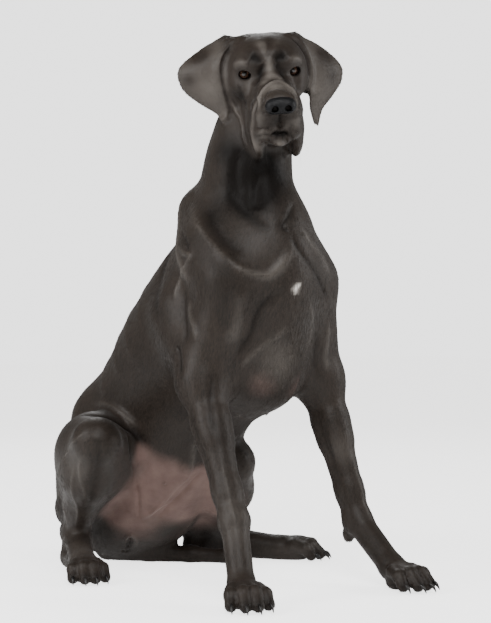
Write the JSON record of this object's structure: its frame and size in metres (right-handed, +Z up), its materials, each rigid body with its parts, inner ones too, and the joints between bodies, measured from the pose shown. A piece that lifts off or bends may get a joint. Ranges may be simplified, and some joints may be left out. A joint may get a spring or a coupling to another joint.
{
  "type": "seated great dane",
  "caption": "Life-size seated great dane with a smooth coat, drop ears, deep chest, splayed hind feet and the tail laid along the floor.",
  "frame": {"origin": "on the floor under the middle of the dog's outline", "axes": "+Z up, the dog faces -Y, its left side is +X"},
  "size_m": [0.6308, 0.8694, 1.0661],
  "materials": {
    "coat": "short flat blue-black coat with a soft sheen",
    "nose_leather": "moist dark nose leather",
    "eye": "wet amber-brown eye",
    "claw": "dark worn horn"
  },
  "bodies": {
    "root": {"torso": "coat", "neck": "coat", "head": "coat", "nose": "nose_leather", "eye_right": "eye", "eye_left": "eye", "ear_right": "coat", "ear_left": "coat", "foreleg_right": "coat", "forepaw_right": "coat", "foreleg_left": "coat", "forepaw_left": "coat", "tail_root": "coat", "tail_tip": "coat", "thigh_right": "coat", "shank_right": "coat", "hindpaw_right": "coat", "thigh_left": "coat", "shank_left": "coat", "hindpaw_left": "coat"}
  },
  "joints": []
}
